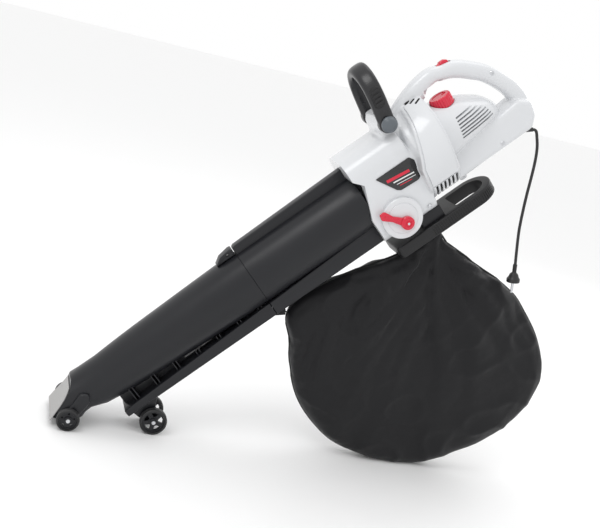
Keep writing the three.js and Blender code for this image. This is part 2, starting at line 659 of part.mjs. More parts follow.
const bagHeart = [690, 70];
const bagLayers = [[-1, 0.78], [-0.86, 0.9], [-0.6, 0.97], [-0.3, 1], [0.3, 1], [0.6, 0.97], [0.86, 0.9], [1, 0.78]];
const bagRings = bagLayers.map(([across, spread]) =>
  bagPoints.map(([x, z]) => new THREE.Vector3(
    bagHeart[0] + (x - bagHeart[0]) * spread, across * bagHalf, bagHeart[1] + (z - bagHeart[1]) * spread)));
add(stand, "collection_bag", loft(bagRings), paint.fabric);
const strapShape = outline([[428, -67], [436, -62.5], [463, -76], [456, -85]], 1);
add(machine, "bag_strap", sidePlate(strapShape, -8, 8), paint.fabric);

// The middle of everything but the cord stands over the origin.
const box = new THREE.Box3().setFromObject(stand, true);
stand.position.x = -(box.min.x + box.max.x) / 2;

// ---- cord and plug ----
const glandLength = glandEnd.distanceTo(glandStart);
add(machine, "cord_gland", glandTube(5.2, -8, glandLength, 4.2), paint.cord);
const cordRoute = [
  [775.9, 0, 735.5], [781.4, 0, 733.6], [787, -1, 722], [793, -3, 703], [796, -6, 678], [796, -11, 645], [795, -16, 612],
  [795, -21, 578], [796, -28, 537], [800, -36, 497], [803.8, -40, 471],
].map((p) => new THREE.Vector3(...p));
const cordCurve = new THREE.CatmullRomCurve3(cordRoute, false, "centripetal");
const cordSection = new THREE.Shape().absarc(0, 0, cordR, 0, Math.PI * 2, false);
const cordGeometry = new THREE.ExtrudeGeometry(cordSection, { steps: 28, extrudePath: cordCurve, curveSegments: 5 });
add(stand, "power_cord", solid(cordGeometry), paint.cord);

const plugFrom = new THREE.Vector3(803.9, -40, 470.4);
const plugTo = new THREE.Vector3(813.8, -41, 414.8);
const plugAlong = plugTo.clone().sub(plugFrom).normalize();
const plugTurn = new THREE.Quaternion().setFromUnitVectors(new THREE.Vector3(0, 1, 0), plugAlong);
function plugPiece(geometry) {
  geometry.applyQuaternion(plugTurn);
  geometry.translate(plugFrom.x, plugFrom.y, plugFrom.z);
  return solid(geometry);
}
const plugProfile = [[0, 0], [4, 0], [4.8, 17], [8, 20], [10, 26], [13.4, 30], [13.4, 37], [0, 37]];
const plugBody = new THREE.LatheGeometry(plugProfile.map(([r, h]) => new THREE.Vector2(r, h)), 24);
add(stand, "power_plug", plugPiece(plugBody), paint.cord);
for (const [end, side] of [["near", -1], ["far", 1]]) {
  const pin = new THREE.CylinderGeometry(2.4, 2.4, 19, 12);
  pin.translate(side * 3.2, 37.3 + 9.5, side * 8.9);
  add(stand, "plug_pin_" + end, plugPiece(pin), paint.steel);
}

export default part;
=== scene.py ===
"""A corded leaf blower and vacuum with its collection bag.

Shapes are built in millimetres, in one of two frames: the machine frame (s along the suction tube,
y across, n square to both) or the floor frame, and are then settled into the row frame in metres.
"""

import json
import math

import bmesh
import bpy
import numpy as np
from mathutils import Matrix, Vector, noise

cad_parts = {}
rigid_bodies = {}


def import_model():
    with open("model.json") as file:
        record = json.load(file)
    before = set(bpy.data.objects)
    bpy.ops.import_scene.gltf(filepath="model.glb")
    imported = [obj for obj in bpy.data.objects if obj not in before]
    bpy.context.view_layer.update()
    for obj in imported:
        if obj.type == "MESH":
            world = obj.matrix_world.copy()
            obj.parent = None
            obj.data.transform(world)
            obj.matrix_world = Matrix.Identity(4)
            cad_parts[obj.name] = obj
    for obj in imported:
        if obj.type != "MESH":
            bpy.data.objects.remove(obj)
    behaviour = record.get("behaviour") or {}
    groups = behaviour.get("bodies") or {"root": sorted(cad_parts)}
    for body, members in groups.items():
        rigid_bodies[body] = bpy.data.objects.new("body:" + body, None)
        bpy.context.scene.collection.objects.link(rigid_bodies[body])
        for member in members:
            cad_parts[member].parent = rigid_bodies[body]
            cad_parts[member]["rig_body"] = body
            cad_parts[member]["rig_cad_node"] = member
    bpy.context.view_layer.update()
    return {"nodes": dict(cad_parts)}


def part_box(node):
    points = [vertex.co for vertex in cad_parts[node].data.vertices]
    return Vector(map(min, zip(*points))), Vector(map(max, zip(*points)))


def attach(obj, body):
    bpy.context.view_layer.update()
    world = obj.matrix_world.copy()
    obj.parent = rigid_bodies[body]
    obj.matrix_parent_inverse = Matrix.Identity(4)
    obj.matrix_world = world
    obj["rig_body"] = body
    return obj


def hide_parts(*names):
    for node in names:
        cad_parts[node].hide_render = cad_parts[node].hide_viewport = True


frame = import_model()

# ---- frames ----
MM = 0.001
TILT = math.radians(46.93)
SHIFT = -468.709
COS, SIN = math.cos(TILT), math.sin(TILT)
MACHINE = Matrix.Scale(MM, 4) @ Matrix(
    ((COS, 0, -SIN, SHIFT), (0, 1, 0, 0), (SIN, 0, COS, 0), (0, 0, 0, 1))
)
STAND = Matrix.Scale(MM, 4) @ Matrix.Translation((SHIFT, 0, 0))

# ---- sizes shared by several pieces, in mm ----
TUBE_N = 18
TUBE_R = 58
TUBE_JOINT = 444
TUBE_END = 701
WALL = 2.5
DUCT_HALF = 38
DUCT_BOTTOM = -62
RAIL_HALF = 10
FAN_N = 41
FAN_R = 93
BELT_R = 97
BODY_HALF = 62
FIT = 0.3
AXLE_BORE_R = 4.3
PIN_BORE_R = 5.3
FRONT_WHEEL_R = 21.5
REAR_WHEEL_R = 26.5
PIVOT = (811, 134)
ARM_IN = 42
ARM_OUT = 59
HANDLE_LEAN = 0.13
LEVER = (744, -43)
DISC = (742, -32)
DIAL = (929, -16)
SIDES = (("near", -1), ("far", 1))

# Points round the rings of the housing's dome and tube, and round the handles' bars.
SECTION_POINTS = 96
BAR_POINTS = 40


# ---- materials ----
SHADER_LOOKS = (
    ("Metallic", "metallic", 0), ("Specular IOR Level", "specular", 0.5),
    ("Coat Weight", "coat", 0), ("Sheen Weight", "sheen", 0),
)
ROUGH_SWING = 0.05
BUMP_HEIGHT = 0.0004


def added(nodes, kind, values):
    """A new shader node with these values at its inputs."""
    made = nodes.new("ShaderNode" + kind)
    for socket, value in values.items():
        made.inputs[socket].default_value = value
    return made


def material(name, color, roughness, **looks):
    """A moulded or woven surface: colour mottling, roughness changes and bump all come from noise."""
    made = bpy.data.materials.new(name)
    made.use_nodes = True
    nodes, links = made.node_tree.nodes, made.node_tree.links
    shader = nodes["Principled BSDF"]
    for socket, look, usual in SHADER_LOOKS:
        shader.inputs[socket].default_value = looks.get(look, usual)
    shader.inputs["Coat Roughness"].default_value = 0.08
    shader.inputs["Sheen Roughness"].default_value = 0.4
    place = nodes.new("ShaderNodeTexCoord")

    broad = added(nodes, "TexNoise", {"Scale": looks.get("broad_scale", 14), "Detail": 4})
    links.new(place.outputs["Object"], broad.inputs["Vector"])
    mottle = nodes.new("ShaderNodeMix")
    mottle.data_type = "RGBA"
    spread = looks.get("mottle", 0.06)
    mottle.inputs["A"].default_value = (*[c * (1 - spread) for c in color], 1)
    mottle.inputs["B"].default_value = (*[min(1, c * (1 + spread)) for c in color], 1)
    links.new(broad.outputs["Fac"], mottle.inputs["Factor"])
    links.new(mottle.outputs["Result"], shader.inputs["Base Color"])

    rough = added(nodes, "MapRange", {
        "From Min": 0.3, "From Max": 0.7,
        "To Min": max(0.02, roughness - ROUGH_SWING), "To Max": min(1, roughness + ROUGH_SWING),
    })
    links.new(broad.outputs["Fac"], rough.inputs["Value"])
    links.new(rough.outputs["Result"], shader.inputs["Roughness"])

    if looks.get("weave"):
        height = weave_height(nodes, links, place, looks["weave"])
    else:
        fine = added(nodes, "TexNoise", {"Scale": looks.get("fine_scale", 900), "Detail": 3})
        links.new(place.outputs["Object"], fine.inputs["Vector"])
        height = fine.outputs["Fac"]
    bump = added(nodes, "Bump", {"Strength": looks.get("bump", 0.1), "Distance": BUMP_HEIGHT})
    links.new(height, bump.inputs["Height"])
    links.new(bump.outputs["Normal"], shader.inputs["Normal"])
    return made


def weave_height(nodes, links, place, per_metre):
    """Two crossed sets of threads, as a height from 0 to 1."""
    threads = []
    for direction in ("X", "Z"):
        wave = added(nodes, "TexWave", {"Scale": per_metre, "Distortion": 0.6, "Detail Scale": 3})
        wave.wave_type = "BANDS"
        wave.bands_direction = direction
        links.new(place.outputs["Object"], wave.inputs["Vector"])
        threads.append(wave.outputs["Fac"])
    both = nodes.new("ShaderNodeMath")
    both.operation = "MAXIMUM"
    links.new(threads[0], both.inputs[0])
    links.new(threads[1], both.inputs[1])
    return both.outputs[0]


PAINT = {
    "white": material(
        "glossy_white_plastic", (0.66, 0.672, 0.69), 0.22, coat=0.3, mottle=0.012, bump=0.02,
    ),
    "black": material(
        "satin_black_plastic", (0.0105, 0.011, 0.0135), 0.34, mottle=0.12, bump=0.12, specular=0.36,
    ),
    "handle": material("satin_handle_plastic", (0.013, 0.013, 0.015), 0.3, mottle=0.1, bump=0.1),
    "frame": material(
        "textured_black_plastic", (0.0095, 0.0095, 0.0105), 0.44, mottle=0.12, bump=0.3, specular=0.4,
    ),
    "rubber": material("soft_rubber", (0.011, 0.011, 0.012), 0.62, mottle=0.15, bump=0.3),
    "tyre": material("tyre_rubber", (0.009, 0.009, 0.01), 0.42, mottle=0.15, bump=0.2),
    "red": material("red_plastic", (0.62, 0.006, 0.035), 0.26, coat=0.3, mottle=0.04, bump=0.03),
    "grey": material("grey_plastic", (0.1, 0.115, 0.13), 0.34, mottle=0.06, bump=0.06),
    "fabric": material(
        "black_woven_fabric", (0.011, 0.011, 0.0122), 0.52, mottle=0.18, broad_scale=30,
        bump=0.45, weave=230, sheen=0.1, specular=0.2,
    ),
    "webbing": material("strap_webbing", (0.014, 0.014, 0.015), 0.8, bump=0.6, weave=420, sheen=0.2),
    "steel": material("brushed_steel", (0.62, 0.63, 0.65), 0.3, metallic=1, bump=0.05),
    "copper": material("copper_windings", (0.55, 0.27, 0.14), 0.38, metallic=1, bump=0.2, fine_scale=500),
    "cord": material("cord_rubber", (0.012, 0.012, 0.013), 0.4, mottle=0.1, bump=0.08),
    "lip": material("worn_grey_plastic", (0.34, 0.335, 0.33), 0.42, mottle=0.1, bump=0.1),
    "plate": material("label_black", (0.006, 0.006, 0.007), 0.2, coat=0.4, bump=0.02),
    "label_white": material("label_white", (0.78, 0.78, 0.78), 0.35, mottle=0.02, bump=0.02),
    # hollow: near-black painted shade, laid where openings into the casing are dark inside
    "hollow": material("painted_shade_black", (0.004, 0.004, 0.004), 0.85, bump=0.02),
}


# ---- mesh work ----
def shown(name, data):
    """A new object in the scene."""
    made = bpy.data.objects.new(name, data)
    bpy.context.scene.collection.objects.link(made)
    return made


def object_of(name, points, faces):
    """A mesh object with its faces turned outwards."""
    mesh = bpy.data.meshes.new(name)
    mesh.from_pydata([tuple(p) for p in points], [], faces)
    work = bmesh.new()
    work.from_mesh(mesh)
    bmesh.ops.recalc_face_normals(work, faces=work.faces)
    work.to_mesh(mesh)
    work.free()
    return shown(name, mesh)


def rings_object(name, rings, looped=False):
    """A closed skin over rings of equal length; looped joins the last ring to the first."""
    count = len(rings[0])
    points = [p for ring in rings for p in ring]
    faces = []
    for i in range(len(rings) if looped else len(rings) - 1):
        here, there = i * count, (i + 1) % len(rings) * count
        for k in range(count):
            after = (k + 1) % count
            faces.append((here + k, here + after, there + after, there + k))
    if not looped:
        faces.append(tuple(range(count))[::-1])
        faces.append(tuple(range(len(points) - count, len(points))))
    return object_of(name, points, faces)


def applied(made, kind, **settings):
    """Adds a modifier with these settings and makes its result the mesh."""
    step = made.modifiers.new("step", kind)
    for key, value in settings.items():
        setattr(step, key, value)
    graph = bpy.context.evaluated_depsgraph_get()
    mesh = bpy.data.meshes.new_from_object(made.evaluated_get(graph))
    made.modifiers.clear()
    old, made.data = made.data, mesh
    bpy.data.meshes.remove(old)
    return made


def bevelled(made, width, segments=3, angle=30):
    """Rounds every edge that is sharper than the angle."""
    if width <= 0:
        return made
    return applied(
        made, "BEVEL", width=width, segments=segments, limit_method="ANGLE",
        angle_limit=math.radians(angle), use_clamp_overlap=True, harden_normals=False,
    )


def boolean(made, others, operation):
    """Adds, cuts or intersects the others, which are used up."""
    for other in others:
        applied(made, "BOOLEAN", operation=operation, object=other, solver="MANIFOLD")
        bpy.data.objects.remove(other)
    return made


def cut(made, *others):
    return boolean(made, others, "DIFFERENCE")


def meet(made, *others):
    return boolean(made, others, "INTERSECT")


def merged(name, parts):
    """One object holding the meshes of all parts."""
    work = bmesh.new()
    for part in parts:
        work.from_mesh(part.data)
    mesh = bpy.data.meshes.new(name)
    work.to_mesh(mesh)
    work.free()
    made = shown(name, mesh)
    for part in parts:
        bpy.data.objects.remove(part)
    return made


def fused(name, parts, voxel, rounds):
    """The parts grown into one skin, with every edge eased."""
    made = merged(name, parts)
    applied(made, "REMESH", mode="VOXEL", voxel_size=voxel, adaptivity=0)
    return applied(made, "SMOOTH", factor=0.5, iterations=rounds)


def extruded(name, flat, low, high, place):
    """A flat outline pushed from low to high; place turns (a, b, depth) into a point."""
    rings = [[place(a, b, depth) for a, b in flat] for depth in (low, high)]
    return rings_object(name, rings)


def side_plate(name, flat, y_low, y_high, bevel=0.0, segments=3):
    """An outline of (s, n) points made thick in y."""
    made = extruded(name, flat, y_low, y_high, lambda s, n, y: (s, y, n))
    return bevelled(made, bevel, segments)


def flat_plate(name, flat, n_low, n_high, bevel=0.0, segments=3):
    """An outline of (s, y) points made thick in n."""
    made = extruded(name, flat, n_low, n_high, lambda s, y, n: (s, y, n))
    return bevelled(made, bevel, segments)


def axial_bar(name, flat, s_low, s_high):
    """An outline of (y, n) points made long in s."""
    return extruded(name, flat, s_low, s_high, lambda y, n, s: (s, y, n))


def rectangle(a, b):
    """The four corners of the rectangle that spans a and b."""
    return [(a[0], b[0]), (a[1], b[0]), (a[1], b[1]), (a[0], b[1])]


def block(name, s, y, n, bevel=0.0, segments=3):
    """A box that spans s, y and n."""
    return side_plate(name, rectangle(s, n), *y, bevel, segments)


def on_side(side, inner, outer):
    """The span of y from inner to outer on one side, in rising order."""
    return sorted((side * inner, side * outer))


def turns(count):
    """The angles of points spread round a circle."""
    return [2 * math.pi * k / count for k in range(count)]


def spun_rings(profile, centre, axis, segments):
    """A profile of (along, radius) spun round an axis; centre is the two other coordinates."""
    rings = []
    for along, radius in profile:
        ring = []
        for turn in turns(segments):
            a, b = radius * math.cos(turn) + centre[0], radius * math.sin(turn) + centre[1]
            ring.append({"s": (along, a, b), "y": (a, along, b), "n": (a, b, along)}[axis])
        rings.append(ring)
    return rings


def turned(name, profile, centre, axis="s", segments=96):
    """A turned solid with a flat face at each end of its profile."""
    return rings_object(name, spun_rings(profile, centre, axis, segments))


def rod(name, start, end, radius, centre, axis="s", segments=96):
    """A cylinder from start to end of an axis."""
    return turned(name, [(start, radius), (end, radius)], centre, axis, segments)


def turned_loop(name, profile, centre, axis="s", segments=96):
    """A turned ring: the closed profile never touches the axis."""
    return rings_object(name, spun_rings(profile, centre, axis, segments), looped=True)


def arc(centre, radius, first, last, steps):
    """Points round an arc from the first angle to the last, both included."""
    made = []
    for k in range(steps + 1):
        turn = first + (last - first) * k / steps
        made.append((centre[0] + radius * math.cos(turn), centre[1] + radius * math.sin(turn)))
    return made


def rounded(corners, radius, steps=10):
    """The outline with each corner replaced by an arc of about this radius."""
    made = []
    for i, corner in enumerate(corners):
        here = Vector(corner)
        before, after = Vector(corners[i - 1]), Vector(corners[(i + 1) % len(corners)])
        back, forth = (before - here).normalized(), (after - here).normalized()
        half_angle = back.angle(forth) / 2
        shorter = min((before - here).length, (after - here).length)
        reach = min(radius / math.tan(half_angle), shorter / 2.05)
        start, end = here + back * reach, here + forth * reach
        for k in range(steps + 1):
            t = k / steps
            made.append(tuple(start * (1 - t) ** 2 + here * 2 * t * (1 - t) + end * t * t))
    return made


def between(a, b, start, end, t):
    """The point at t on the line from a, at start, to b, at end."""
    return a * ((end - t) / (end - start)) + b * ((t - start) / (end - start))


def spline(points, count, closed=False):
    """Points spread along a centripetal curve through the given ones."""
    known = [Vector(p) for p in points]
    if closed:
        padded = [known[-1], *known, known[0], known[1]]
    else:
        padded = [known[0] * 2 - known[1], *known, known[-1] * 2 - known[-2]]
    spans = len(padded) - 3
    made = []
    for k in range(count):
        at = k / (count if closed else count - 1) * spans
        i = min(int(at), spans - 1)
        p = padded[i:i + 4]
        times = [0.0]
        for a, b in zip(p, p[1:]):
            times.append(times[-1] + max((b - a).length, 1e-6) ** 0.5)
        t = times[1] + (at - i) * (times[2] - times[1])
        first = [between(p[j], p[j + 1], times[j], times[j + 1], t) for j in range(3)]
        second = [between(first[j], first[j + 1], times[j], times[j + 2], t) for j in range(2)]
        made.append(between(*second, times[1], times[2], t))
    return made


def squared(value, power):
    """A sine or cosine for a superellipse: 2 gives a circle, more gives squarer corners."""
    return math.copysign(abs(value) ** (2 / power), value)


def section(low, high, half, power=2.0):
    """A superellipse ring between two (s, n) points, reaching half its width to each side."""
    middle = [(low[i] + high[i]) / 2 for i in (0, 1)]
    rise = [(high[i] - low[i]) / 2 for i in (0, 1)]
    ring = []
    for turn in turns(SECTION_POINTS):
        up = squared(math.sin(turn), power)
        side = squared(math.cos(turn), power)
        ring.append((middle[0] + rise[0] * up, half * side, middle[1] + rise[1] * up))
    return ring


def swept(name, path, half_wide, power):
    """A bar along a path of (a, b, half thickness), half_wide to each side; gives (a, across, b)."""
    rings = []
    for k, (a, b, thick) in enumerate(path):
        ahead, behind = path[min(k + 1, len(path) - 1)], path[max(k - 1, 0)]
        along = Vector((ahead[0] - behind[0], ahead[1] - behind[1])).normalized()
        ring = []
        for turn in turns(BAR_POINTS):
            out = squared(math.sin(turn), power) * thick
            side = squared(math.cos(turn), power) * half_wide
            ring.append((a - along.y * out, side, b + along.x * out))
        rings.append(ring)
    return rings_object(name, rings)


def ribbon(name, path, across, thick):
    """A flat strap along a 3-D path, across being its half width as a vector."""
    rings = []
    for k, point in enumerate(path):
        along = (path[min(k + 1, len(path) - 1)] - path[max(k - 1, 0)]).normalized()
        up = along.cross(across).normalized() * thick / 2
        low, high = point - up, point + up
        rings.append([low - across, low + across, high + across, high - across])
    return rings_object(name, rings)


def round_line(name, points, radius, resolution, paint, kind="POLY", **settings):
    """A round cord through points in metres; the settings are those of its spline."""
    line = bpy.data.curves.new(name, "CURVE")
    line.dimensions = "3D"
    line.bevel_depth = radius
    line.bevel_resolution = resolution
    line.use_fill_caps = kind == "POLY"
    strand = line.splines.new(kind)
    for key, value in settings.items():
        setattr(strand, key, value)
    strand.points.add(len(points) - 1)
    for spot, point in zip(strand.points, points):
        spot.co = (*point, 1)
    line.materials.append(PAINT[paint])
    return shown(name, line)


# ---- putting pieces in place ----
def piece(made, body, paint, replaces=(), place=MACHINE, angle=32):
    """Settles a shape built in mm, gives it its material and hangs it on its body."""
    if place is not None:
        made.data.transform(place)
    made.data.materials.clear()
    made.data.materials.append(PAINT[paint])
    made.data.shade_smooth()
    made.data.set_sharp_from_angle(angle=math.radians(angle))
    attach(made, body)
    if replaces:
        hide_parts(*replaces)
    return made


def eased(node, bevel):
    """A copy of a CAD node, in metres, with its flat faces whole again and its edges rounded."""
    made = frame["nodes"][node].copy()
    made.data = made.data.copy()
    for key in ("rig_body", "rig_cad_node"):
        del made[key]
    made.parent = None
    made.name = node + "_detailed"
    bpy.context.scene.collection.objects.link(made)
    work = bmesh.new()
    work.from_mesh(made.data)
    bmesh.ops.remove_doubles(work, verts=work.verts, dist=2e-6)
    bmesh.ops.dissolve_limit(
        work, angle_limit=math.radians(1.5), verts=work.verts, edges=work.edges, delimit={"NORMAL"},
    )
    work.to_mesh(made.data)
    work.free()
    return bevelled(made, bevel * MM, 2)


def restyled(node, paint, bevel, body="machine"):
    """Puts an eased copy of a CAD node in that node's place."""
    return piece(eased(node, bevel), body, paint, [node], place=None)


# ---- camera, floor and light ----
CAMERA_SPOT = (-0.6783, -1.82724, 0.82217)
CAMERA_LENS = 61.04
CAMERA_TURN, CAMERA_RISE, CAMERA_ROLL = (math.radians(a) for a in (-17.84, 13.006, 14.839))


def camera_matrix():
    """The camera's place and its turn, rise and roll, in the row frame."""
    back = Vector((
        math.sin(CAMERA_TURN) * math.cos(CAMERA_RISE),
        -math.cos(CAMERA_TURN) * math.cos(CAMERA_RISE),
        math.sin(CAMERA_RISE),
    ))
    level = Vector((math.cos(CAMERA_TURN), math.sin(CAMERA_TURN), 0))
    up = back.cross(level)
    right = level * math.cos(CAMERA_ROLL) + up * math.sin(CAMERA_ROLL)
    top = up * math.cos(CAMERA_ROLL) - level * math.sin(CAMERA_ROLL)
    turn = Matrix((right, top, back)).transposed().to_4x4()
    return Matrix.Translation(CAMERA_SPOT) @ turn


camera = shown("camera", bpy.data.cameras.new("camera"))
camera.data.lens = CAMERA_LENS
camera.data.sensor_width = 36
camera.data.clip_start, camera.data.clip_end = 0.05, 60
camera.matrix_world = camera_matrix()
bpy.context.scene.camera = camera

bpy.context.scene.view_settings.view_transform = "Standard"
bpy.context.scene.view_settings.look = "None"

FLOOR_REACH = 14
floor_span = (-FLOOR_REACH, FLOOR_REACH)
floor = object_of("floor", [(x, y, 0) for x, y in rectangle(floor_span, floor_span)], [(0, 1, 2, 3)])
floor.data.materials.append(material("pale_floor", (0.93, 0.93, 0.93), 0.6, mottle=0.004, bump=0.0))

world = bpy.data.worlds.new("studio")
bpy.context.scene.world = world
world.use_nodes = True
world.node_tree.nodes["Background"].inputs["Color"].default_value = (1, 1, 1, 1)
world.node_tree.nodes["Background"].inputs["Strength"].default_value = 1.0


def softbox(name, spot, aim, size, watts):
    """A rectangular lamp at a spot, turned to what it aims at."""
    lamp = bpy.data.lights.new(name, "AREA")
    lamp.shape = "RECTANGLE"
    lamp.size, lamp.size_y = size
    lamp.energy = watts
    made = shown(name, lamp)
    made.location = spot
    made.rotation_mode = "QUATERNION"
    made.rotation_quaternion = (Vector(aim) - Vector(spot)).to_track_quat("-Z", "Y")


softbox("key_light", (-1.6, -1.2, 2.6), (0, 0, 0.4), (1.4, 1.0), 17)
softbox("top_light", (0.4, 0.5, 3.0), (0, 0, 0.4), (2.0, 1.4), 9)
softbox("rim_light", (1.9, 1.4, 1.6), (0, 0, 0.5), (1.0, 1.4), 8)

# ---- cord ----
CORD_R = 3
CORD_ROUTE = [
    (775.9, 0, 735.5), (781.4, 0, 733.6), (787, -1, 722), (793, -3, 703), (796, -6, 678), (796, -11, 645),
    (795, -16, 612), (795, -21, 578), (796, -28, 537), (800, -36, 497), (803.8, -40, 471),
]
cord_points = [STAND @ p for p in spline(CORD_ROUTE, 90)]
cord = round_line("mains_cord", cord_points, CORD_R * MM, 6, "cord")
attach(cord, "machine")
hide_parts("power_cord")

PLUG_FROM = Vector((803.9, -40, 470.4))
PLUG_TO = Vector((813.8, -41, 414.8))
PLUG_TURN = (PLUG_TO - PLUG_FROM).to_track_quat("Z", "Y").to_matrix().to_4x4()
PLUG_FRAME = Matrix.Translation(PLUG_FROM) @ PLUG_TURN


def plug_profile():
    """Ribbed sleeve, waist and contour flange of the plug, as (along, radius)."""
    profile = [(0.0, 3.7), (0.4, 4.1)]
    for rib in range(5):
        start = 1.5 + rib * 3
        for step, radius in ((0, 4.3), (1.4, 4.4), (1.6, 3.7), (2.4, 3.7), (2.6, 4.5)):
            profile.append((start + step, radius))
    return [
        *profile, (17.5, 5.2), (19, 7.2), (21, 8.7), (24, 9.7), (27, 11), (29, 12.7),
        (30.5, 13.4), (36, 13.4), (37, 12.8),
    ]


plug = turned("mains_plug", plug_profile(), (0, 0), "n", 48)
piece(plug, "machine", "cord", ["power_plug"], STAND @ PLUG_FRAME)

# ---- housing ----
TAPER_S = [870, 920, 958, 985, 1003, 1016, 1022]
TAPER = {
    "low": [-12, -4, 2, 5, 6, 8, 16],
    "high": [112, 100, 88, 73, 60, 42, 30],
    "half": [66, 62, 56, 48, 38, 24, 9],
    "power": [2.3, 2.3, 2.3, 2.2, 2.1, 2.0, 2.0],
}
GRIP_PATH = [
    (838, 108, 24), (862, 121, 24), (905, 140, 20), (936, 147.5, 16), (958, 141.5, 15), (977, 136, 17),
    (994.5, 125.5, 17.5), (1011.5, 111, 17.5), (1029, 94.5, 17), (1050.5, 61, 16.5), (1063.5, 30.5, 17.3),
    (1066, 1, 17.5), (1052, -19, 22), (1034, -26, 22),
]
BELT_BAND = [(861, 142), (820, 29), (818, -70), (876, -70), (876, -6), (893, 142)]
SEAM = 0.24


def band(grow):
    """The slanted slice of the fan casing that the belt covers."""
    low, high = BELT_BAND[:3], BELT_BAND[3:]
    flat = [(s - grow, n) for s, n in low] + [(s + grow, n) for s, n in high]
    return side_plate("band", flat, -120, 120)


def dome_rings():
    """Rings along the motor cover, which tapers to a rounded end."""
    known = [Vector((s, TAPER["low"][i], TAPER["high"][i])) for i, s in enumerate(TAPER_S)]
    rings = []
    for s, low, high in spline(known, 40):
        half = float(np.interp(s, TAPER_S, TAPER["half"]))
        power = float(np.interp(s, TAPER_S, TAPER["power"]))
        rings.append(section((s, low), (s, high), half, power))
    return rings


def housing_skin():
    """The outside of the housing, from the tube socket to the rear handle, in one skin."""
    adapter_line = rounded(rectangle((-BODY_HALF, BODY_HALF), (-66, 115)), 40)
    adapter = axial_bar("adapter", adapter_line, 660, 817)
    shoulder_line = [(760, 0.5), (760, 44), (818.5, 60.5), (828, 83), (886, 86), (892, 60), (892, 0.5)]
    shoulder = turned("shoulder", shoulder_line, (0, FAN_N))
    drum = meet(rod("drum", 790, 920, FAN_R, (0, FAN_N), segments=128), band(5.5))
    dome = rings_object("dome", dome_rings())
    beam_line = [
        (860, -52), (945, -50), (1058, -49), (1075, -28), (1080, 0), (1058, 18), (1010, 12), (860, 18),
    ]
    beam = side_plate("beam", beam_line, -32, 32, 8, 4)
    grip = swept("grip", spline(GRIP_PATH, 90), 18, 2.5)
    saddle_line = [(790, 90), (795, 136), (803, 149), (819, 149), (828, 138), (838, 90)]
    saddle = side_plate("saddle", saddle_line, -41, 41, 3)
    skin = fused("housing", [adapter, shoulder, drum, dome, beam, grip, saddle], 1.7, 14)
    edge = [(640, 170), (697, 170), (697, 80), (713, 62), (691, -6), (695, -100), (640, -100)]
    return cut(skin, side_plate("edge", edge, -90, 90))


def housing_hollows():
    """Everything that is empty inside the housing: sockets, air ways, rooms and bores."""
    socket = (600, TUBE_END + FIT)
    motor_line = [(877.5, 38.5), (956, 38.5), (956.1, 27), (984, 27), (984.1, 12), (1003, 12)]
    return [
        rod("socket", *socket, TUBE_R + FIT, (0, TUBE_N)),
        block("duct_socket", socket, (-DUCT_HALF - FIT, DUCT_HALF + FIT), (DUCT_BOTTOM - FIT, -20)),
        block("rail_socket", socket, (-RAIL_HALF - FIT, RAIL_HALF + FIT), (60, 99)),
        rod("suction", 700, 832, 53, (0, TUBE_N)),
        block("channel", (700, 812), (-35, 35), (-59, -40)),
        rod("fan_room", 830, 878, 78, (0, FAN_N)),
        block("outlet_way", (805, 845), (-28, 28), (-45, -20)),
        block("chute", (774, 822), (-33, 33), (-80, -50)),
        turned("motor_room", motor_line, (0, FAN_N)),
        block("switch_room", (955, 985), (-6.5, 6.5), (137.8, 175)),
        rod("dial_room", 87, 135, 23.5, DIAL, "n", 64),
        rod("pot_room", 79, 90, 9, DIAL, "n", 32),
        rod("lever_bore", -80, 50, AXLE_BORE_R, LEVER, "y", 32),
        rod("pin_bore_near", -60, -25, PIN_BORE_R, PIVOT, "y", 32),
        rod("pin_bore_far", 25, 60, PIN_BORE_R, PIVOT, "y", 32),
    ]


def cooling_slots(side):
    """Rows of blind slots along one side of the motor cover."""
    made = []
    rows, half_high, depth = 7, 1.7, 3.5
    for row in range(rows):
        part = row / (rows - 1)
        n = 68 - part * 40
        start, end = 926 - part * 6, 984 + part * 14
        flat = rounded(rectangle((start, end), (n - half_high, n + half_high)), 1.6, 4)
        bottom = np.interp(end, TAPER_S, TAPER["half"]) - depth
        made.append(side_plate("slot", flat, *on_side(side, bottom, 100)))
    return made


first_hollow, *more_hollows = housing_hollows()
hollow = boolean(first_hollow, more_hollows, "UNION")
skin = cut(housing_skin(), hollow, merged("cooling", [*cooling_slots(-1), *cooling_slots(1)]))
for end, side in SIDES:
    half = skin.copy()
    half.data = skin.data.copy()
    half.name = f"housing_shell_{end}"
    bpy.context.scene.collection.objects.link(half)
    meet(half, block("space", (500, 1200), on_side(side, SEAM / 2, 200), (-200, 300)))
    piece(half, "machine", "white", [f"housing_{end}"], angle=48)
bpy.data.objects.remove(skin)

# ---- belt, outlet grilles and the painted shade behind them ----
SLOT_START, SLOT_PITCH, SLOT_WIDE, SLOT_COUNT = 824.5, 9, 4.8, 6


def casing_ring(name, inner, outer, segments=96):
    """A ring round the fan casing, longer than the belt that is cut from it."""
    line = [(785, inner), (785, outer), (925, outer), (925, inner)]
    return turned_loop(name, line, (0, FAN_N), segments=segments)


def within(made, grow, y, n):
    """Keeps what is inside the belt's band, grown a little, and inside the spans of y and n."""
    return meet(made, band(grow), block("reach", (780, 930), y, n))


